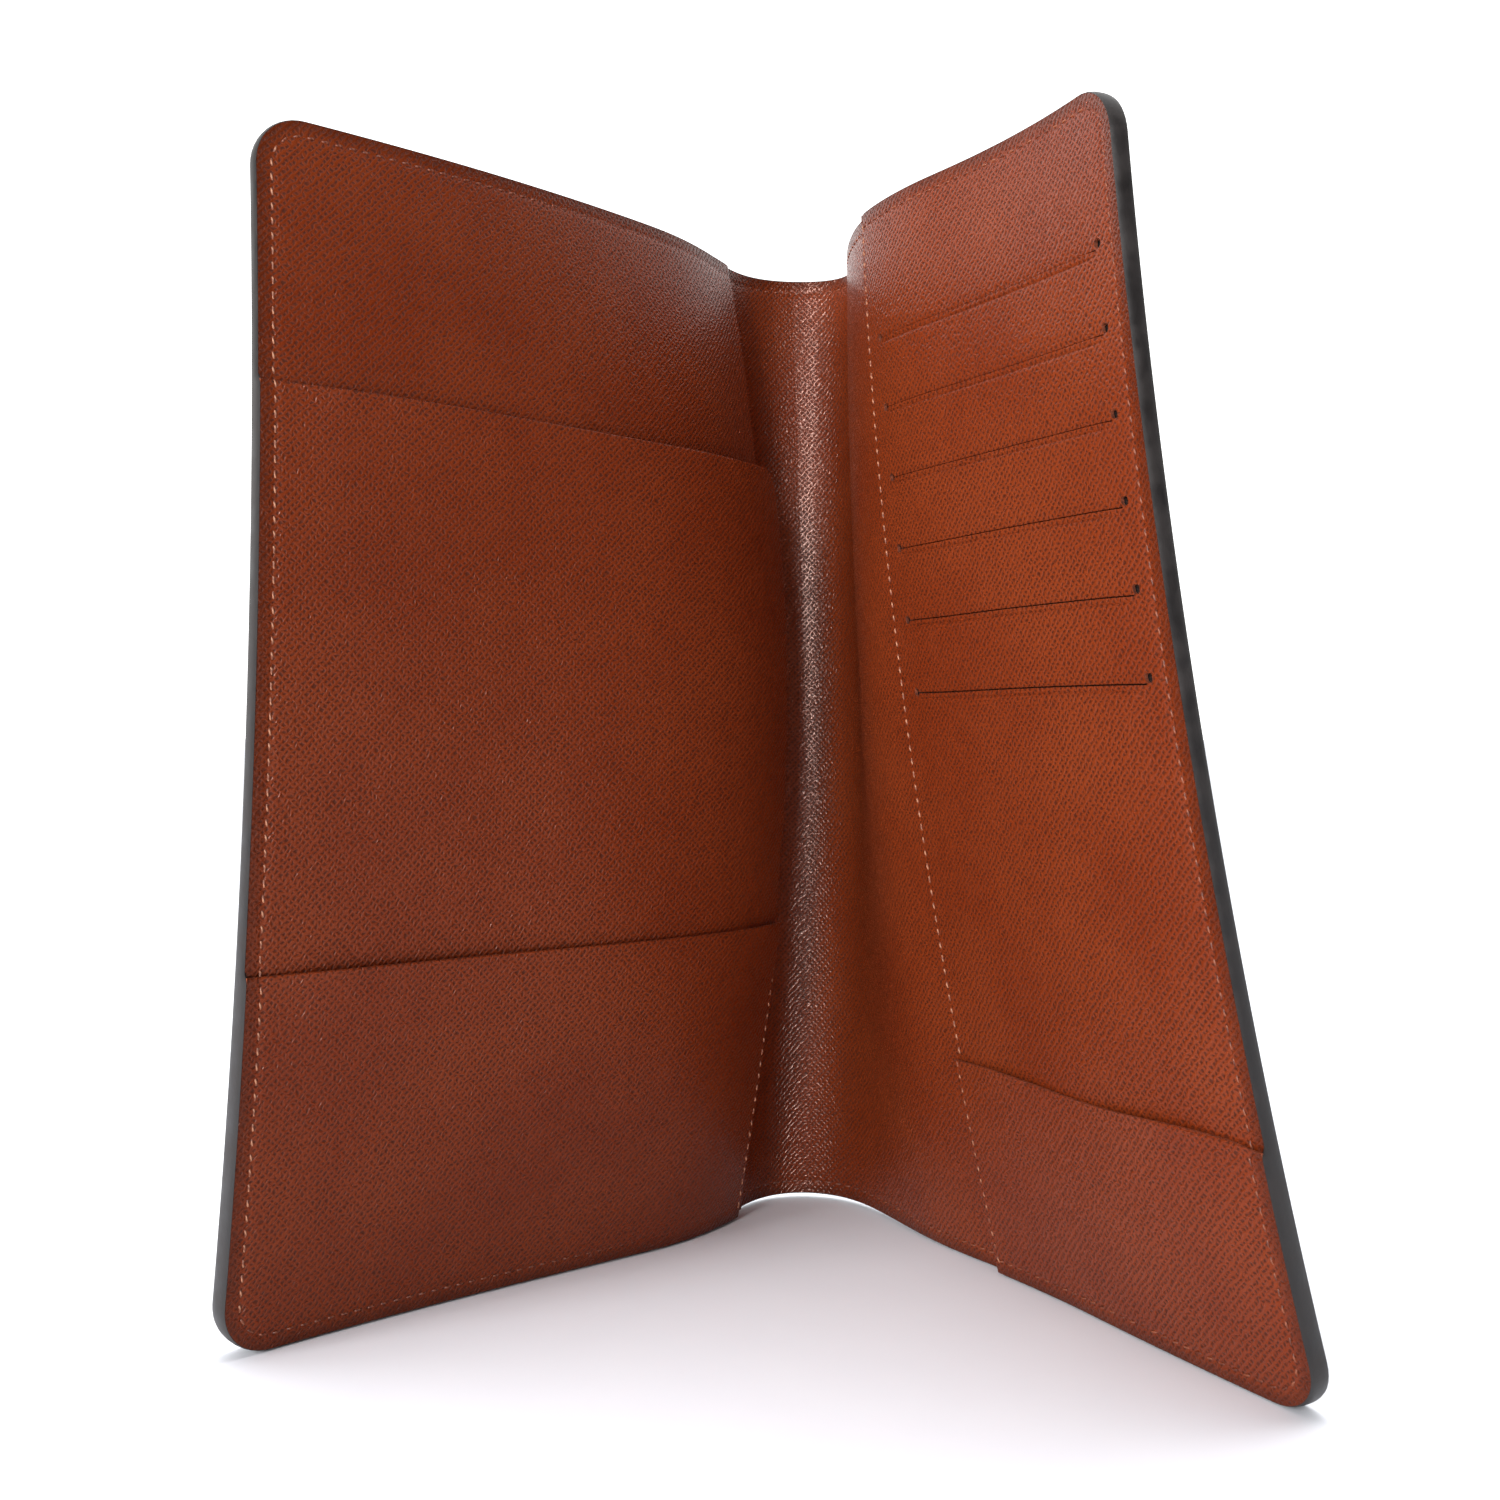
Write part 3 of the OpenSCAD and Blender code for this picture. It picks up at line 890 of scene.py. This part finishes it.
def make_card_panel(leather, cut):
    """The card panel, with its slots cut through and their ends punched."""
    hole_marks = np.array([-1, -0.707, -0.3, 0, 0.3, 0.707, 1]) * HOLE
    holes = np.concatenate([hole_marks + SLOT_START, hole_marks + SLOT_END + END_HOLE_SHIFT])
    columns = marks(PANEL_INNER, RIGHT_EDGE - TUCK, ALONG_SPACING, NEAR_CUT, NEAR_EDGE, holes)
    rows = []
    for height in slot_heights():
        rows += list(height + START_HOLE_RISE + hole_marks)
        rows += list(height + HOLE_RISE + hole_marks)
        rows += [height - SLOT_CUT / 2, height + SLOT_CUT / 2]
        rows += [height - SLOT_CUT / 2 - d for d in (0.35, 0.6, 0.75, 0.9, 1.05, 1.2, 1.5, 2.2)]
    rows = corner_rows(marks(TUCK, HEIGHT - TUCK, UP_SPACING, NEAR_EDGE, NEAR_EDGE, rows))
    rows = rows[(rows >= TUCK) & (rows <= HEIGHT - TUCK)]
    along, up = grid(columns, rows, False, True)

    def front(a, u):
        rim = soft_rim(a - PANEL_INNER) - slot_relief(a, u)
        side_seam = SEAM_PULL * np.exp(-(((a - PANEL_INNER - SIDE_STITCH_IN) / 0.4) ** 2))
        bow = 0.35 * smooth((a - PANEL_INNER) / 12) * smooth((RIGHT_EDGE - a) / 12)
        bow = bow * smooth(u / 30) * smooth((HEIGHT - u) / 20)
        return PANEL_FACE - rim - side_seam - seam_dip(a, u) + bow

    def back(a, u):
        return np.minimum(front(a, u) - LEATHER + 2 * soft_rim(a - PANEL_INNER), PANEL_FACE)

    piece = leaf("card_panel_leather", along, up, front, back, (leather, cut), slot_cells, round_holes)
    dress(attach(piece, "card_cover"), "lining_leather", "card_panel")


def make_right_low_pocket(leather, cut):
    """The low pocket across the foot of the card panel."""
    columns = marks(PANEL_INNER - OVERHANG, RIGHT_EDGE - TUCK, ALONG_SPACING, NEAR_CUT, NEAR_EDGE)
    top = RIGHT_LOW_TOP
    rows = corner_rows(marks(TUCK, top, 2.0, NEAR_EDGE, NEAR_CUT))
    rows = rows[(rows >= TUCK) & (rows <= top)]
    along, up = grid(columns, rows, False, True)
    # The free edge is cut by hand and waves a little.
    share = (along - PANEL_INNER) / (RIGHT_EDGE - PANEL_INNER)
    wavy = 0.45 * np.sin(share * 9.5) + 0.5 * (share - 0.5)
    up = up + wavy * smooth(up / top) * smooth(share * 8) * smooth((1 - share) * 12)

    def front(a, u):
        rim = soft_rim(top + 0.4 - u) + soft_rim(a - PANEL_INNER + OVERHANG)
        share = (a - PANEL_INNER) / (RIGHT_EDGE - PANEL_INNER)
        mouth = 0.9 * np.exp(-(top - u) / 7) * smooth(share * 4) * smooth((1 - share) * 5)
        mouth = mouth * (0.6 + 0.4 * np.sin(share * 11))
        return RIGHT_LOW_FACE - rim - seam_dip(a, u) + mouth

    def back(a, u):
        return front(a, u) - LEATHER + seam_dip(a, u)

    piece = leaf("right_low_pocket_leather", along, up, front, back, (leather, cut))
    dress(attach(piece, "card_cover"), "lining_leather", "right_lower_pocket")


def make_card_cloths(cloth):
    """Thin cloth pockets that hang behind the slots."""
    for number, height in enumerate(slot_heights(), 1):
        off = CLOTH_OFF + CLOTH_STEP * (SLOTS - number)
        columns = marks(SLOT_START - 3, SLOT_END + 1.5, 4)
        rows = marks(max(height - CLOTH_DROP, 4.5), height + 4, 4)
        along, up = grid(columns, rows)
        piece = leaf(
            "card_cloth_%d" % number, along, up,
            lambda a, u, o=off: o + CLOTH + 0 * a,
            lambda a, u, o=off: o + 0 * a,
            (cloth, cloth),
        )
        dress(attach(piece, "card_cover"), "pocket_fabric", "card_pocket_%d" % number)


# ---------------------------------------------------------------------------------------------
# Edge paint and stitching
# ---------------------------------------------------------------------------------------------


def outline_path(part, inset=0.0, spacing=1.5):
    """The wallet's outline over one part, as places with their outward directions."""
    low, high = PARTS[part]
    radius = CORNER - inset
    places = []
    if part == "strip":
        run = np.linspace(low, high, 17)
        lower = [(a, inset, 0, -1) for a in run]
        upper = [(a, HEIGHT - inset, 0, 1) for a in run[::-1]]
        return [lower, upper]
    way = -1 if part == "left" else 1
    edge = LEFT_EDGE if part == "left" else RIGHT_EDGE
    inner = high if part == "left" else low
    centre = edge - way * CORNER
    for a in np.linspace(inner, centre, int(abs(centre - inner) / spacing)):
        places.append((a, inset, 0, -1))
    for t in np.radians(np.arange(7.5, 90, 7.5)):
        places.append((centre + way * radius * math.sin(t), CORNER - radius * math.cos(t),
                       way * math.sin(t), -math.cos(t)))
    steps = marks(CORNER, HEIGHT - CORNER, 2.5, more=[
        h + d for h in (PASSPORT_TOP, LEFT_LOW_TOP, RIGHT_LOW_TOP) for d in (-1, -0.5, 0, 0.5, 1)
    ])
    for u in steps:
        places.append((edge - way * inset, u, way, 0))
    for t in np.radians(np.arange(82.5, 0, -7.5)):
        places.append((centre + way * radius * math.sin(t), HEIGHT - CORNER + radius * math.cos(t),
                       way * math.sin(t), math.cos(t)))
    for a in np.linspace(centre, inner, int(abs(centre - inner) / spacing)):
        places.append((a, HEIGHT - inset, 0, 1))
    return [places]


def tube(rings):
    """Faces of a closed tube over rings of equal length."""
    faces, n = [], len(rings[0])
    for k in range(len(rings) - 1):
        for j in range(n):
            a, b = k * n + j, k * n + (j + 1) % n
            faces.append((a, b, b + n, a + n))
    faces.append(tuple(range(n - 1, -1, -1)))
    faces.append(tuple((len(rings) - 1) * n + j for j in range(n)))
    return faces


def add_tube(rings, sheet_mm, faces):
    """Adds a closed tube to a mesh in the making, and says how many faces it has."""
    start = len(sheet_mm)
    for ring in rings:
        sheet_mm += ring
    made = tube(rings)
    faces += [tuple(start + k for k in f) for f in made]
    return len(made)


def tube_piece(name, sheet_mm, faces, looks, materials, sharp):
    """The piece that the added tubes make, with its faces turned outwards."""
    sheet_mm = np.array(sheet_mm)
    points = sheet_points(sheet_mm[:, 0], sheet_mm[:, 1], sheet_mm[:, 2])
    piece = finish_mesh(name, points, faces, sheet_mm, looks, materials, sharp)
    settle_normals(piece)
    return piece


def edge_bead(name, part, paint):
    """The painted edge: a rounded bead round the cut edges of all the layers."""
    sheet_mm, faces = [], []
    for places in outline_path(part):
        rings = []
        for a, u, way_a, way_u in places:
            face = float(stack_face(np.array(a), np.array(u)))
            low, high, inner = BACK_FACE - 0.03, face + 0.02, -0.25
            depth = high - low
            # The bead's outline: distance out from the edge, and offset.
            shape = [
                (inner, low + 0.1),
                (0.02, low),
                (0.17, low + 0.14 * depth),
                (0.26, low + 0.35 * depth),
                (0.27, low + 0.65 * depth),
                (0.18, high - 0.14 * depth),
                (0.02, high),
                (inner, high - 0.1),
            ]
            rings.append([(a + way_a * d, u + way_u * d, off) for d, off in shape])
        add_tube(rings, sheet_mm, faces)
    return follow(tube_piece(name, sheet_mm, faces, [0] * len(faces), (paint,), 60), part)


def settle_normals(piece):
    """Turns all faces outwards."""
    work = bmesh.new()
    work.from_mesh(piece.data)
    bmesh.ops.recalc_face_normals(work, faces=work.faces)
    work.to_mesh(piece.data)
    work.free()


def evenly(places, pitch):
    """Places at one pitch along a line of places, each with its direction."""
    line = np.array([(p[0], p[1]) for p in places])
    gaps = np.hypot(*(line[1:] - line[:-1]).T)
    run = np.concatenate([[0], np.cumsum(gaps)])
    count = int(run[-1] / pitch)
    at = (np.arange(count) + 0.5) * run[-1] / count
    a, u = np.interp(at, run, line[:, 0]), np.interp(at, run, line[:, 1])
    ahead = np.minimum(at + 0.3, run[-1])
    behind = np.maximum(at - 0.3, 0)
    da = np.interp(ahead, run, line[:, 0]) - np.interp(behind, run, line[:, 0])
    du = np.interp(ahead, run, line[:, 1]) - np.interp(behind, run, line[:, 1])
    length = np.hypot(da, du)
    return [(a[k], u[k], da[k] / length[k], du[k] / length[k]) for k in range(count)]


def stitches(name, places, face, threads, out=1, painted_light_uprights=True):
    """A row of stitches that dip into the leather at both ends. out is -1 on the back face.

    Where the flag is set, its upright stitches take the lighter thread: painted light on the same
    thread.
    """
    sheet_mm, faces, painted_light_faces = [], [], []
    for a, u, da, du in places:
        # Each stitch lies a few degrees across the seam's line.
        ca = da * math.cos(STITCH_SLANT) - du * math.sin(STITCH_SLANT)
        cu = da * math.sin(STITCH_SLANT) + du * math.cos(STITCH_SLANT)
        base = float(face(np.array(a), np.array(u)))
        rings = []
        for t in (-1.0, -0.82, -0.45, 0.0, 0.45, 0.82, 1.0):
            fat = THREAD * (1.0 if abs(t) < 0.9 else 0.6)
            lift = base - out * (0.2 - 0.24 * (1 - t * t) ** 0.8)
            ring = []
            for k in range(8):
                turn = k * math.pi / 4
                side = fat * 0.95 * math.cos(turn)
                ring.append((
                    a + ca * STITCH_HALF * t - cu * side,
                    u + cu * STITCH_HALF * t + ca * side,
                    lift + fat * math.sin(turn),
                ))
            rings.append(ring)
        # Upright stitches of a flagged row take the lighter thread: painted light.
        upright = abs(du) > 0.7
        painted_light_faces += [int(painted_light_uprights and upright)] * add_tube(rings, sheet_mm, faces)
    return tube_piece(name, sheet_mm, faces, painted_light_faces, threads, 80)


def seam_face(along, up):
    """The face that the perimeter stitches lie on."""
    return stack_face(along, up) - SEAM_PULL


def back_seam_face(along, up):
    """The outer leather where the same stitches come through behind."""
    return np.full(np.shape(along), BACK_FACE) + 0.08


def make_edge_paint(paint):
    """The painted edge, in three parts."""
    dress(edge_bead("edge_paint_left", "left", paint), "edge_paint", "left_edge_paint")
    edge_bead("edge_paint_strip", "strip", paint)
    dress(edge_bead("edge_paint_card_side", "card_side", paint), "edge_paint", "right_edge_paint")


def make_stitching(threads):
    """Stitching: the left cover's and the pockets' upright rows are painted lighter, as if lit."""
    for part, node in (
        ("left", "left_perimeter_stitching"),
        ("strip", "spine_stitching"),
        ("card_side", "right_perimeter_stitching"),
    ):
        places = []
        for line in outline_path(part, STITCH_IN):
            places += evenly(line, STITCH_PITCH)
        piece = stitches("stitches_" + part, places, seam_face, threads, painted_light_uprights=part == "left")
        dress(follow(piece, part), "thread", node)
        piece = stitches("back_stitches_" + part, places, back_seam_face, threads, out=-1, painted_light_uprights=False)
        dress(follow(piece, part), "thread")

    def flap_face(a, u):
        return LEFT_LOW_FACE + flap_gape(a, u)

    side = [(FLAP_INNER - SIDE_STITCH_IN, u, 0, 0) for u in np.linspace(1.5, LEFT_LOW_TOP - 0.6, 40)]
    piece = stitches("stitches_left_pocket", evenly(side, STITCH_PITCH), flap_face, threads)
    dress(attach(piece, "left_cover"), "thread", "left_pocket_side_stitching")

    def panel_face(a, u):
        over = LAYER_RISE * smooth((RIGHT_LOW_TOP - u) / 1.2 + 0.5)
        return PANEL_FACE - 0.1 + over

    side = [(PANEL_INNER + SIDE_STITCH_IN, u, 0, 0) for u in np.linspace(1.5, HEIGHT - 1.5, 100)]
    piece = stitches("stitches_card_panel", evenly(side, STITCH_PITCH), panel_face, threads)
    dress(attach(piece, "card_cover"), "thread", "card_panel_side_stitching")


# ---------------------------------------------------------------------------------------------

make_camera()
make_floor(pale_paper())
make_light()

lining_leather = cross_grain_leather("cross_grain_leather", "#712A0F", "#481A09", "#7A3215")
cut_edge = skived_leather_edge()
make_wall(pebbled_outer_leather(), lining_leather, cut_edge, grey_board())
make_left_pockets(lining_leather, cut_edge)
make_card_cloths(pocket_cloth())
make_card_panel(lining_leather, cut_edge)
make_right_low_pocket(lining_leather, cut_edge)
make_edge_paint(painted_edge())
make_stitching((
    waxed_thread("waxed_thread", "#5E2711", "#88482C"),
    # The same thread again, painted lighter as if lit.
    waxed_thread("painted_light_waxed_thread", "#7E4228", "#B57B5A"),
))
